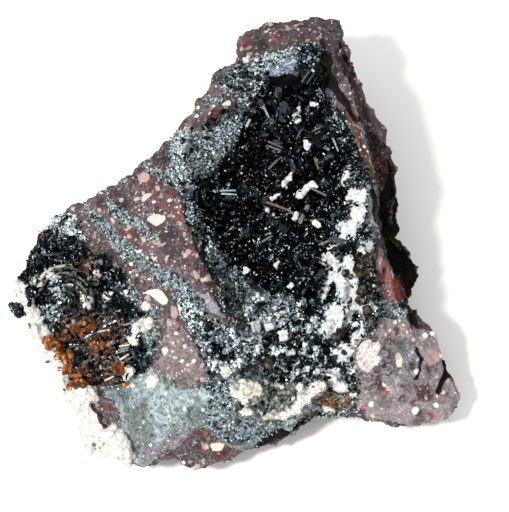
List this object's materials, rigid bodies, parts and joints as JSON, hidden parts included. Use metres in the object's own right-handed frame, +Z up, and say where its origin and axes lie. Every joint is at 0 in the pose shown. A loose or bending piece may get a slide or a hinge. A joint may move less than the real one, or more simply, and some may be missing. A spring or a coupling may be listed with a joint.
{
  "type": "hematite specimen",
  "caption": "Cabinet mineral specimen: black bladed hematite lining a vug in dark purple-brown volcanic rock, with white, cream and orange-stained crusts.",
  "frame": {"origin": "middle of the specimen's plan box, at the level of its flat underside", "axes": "+Z up from the flat underside, +Y from the low front lip of the vug towards the high back knob, +X across to the low right lobe"},
  "size_m": [0.0748, 0.0786, 0.0272],
  "materials": {
    "host_rock": "rough broken volcanic rock, purple-brown with pale grains",
    "vug_crystal_crust": "glossy black metallic crystal faces",
    "side_crystal_crust": "glossy dark crystal faces with brown to orange stain",
    "white_druse_crust": "white sugary crystal crust",
    "front_white_crust": "cream and white crystal crust",
    "cream_side_crust": "cream-white lumpy coating",
    "pink_white_knob": "pink and white rounded crystals"
  },
  "bodies": {
    "root": {"host_rock": "host_rock", "vug_crystal_crust": "vug_crystal_crust", "side_crystal_crust": "side_crystal_crust", "white_druse_crust": "white_druse_crust", "front_white_crust": "front_white_crust", "cream_side_crust": "cream_side_crust", "pink_white_knob": "pink_white_knob"}
  },
  "joints": []
}
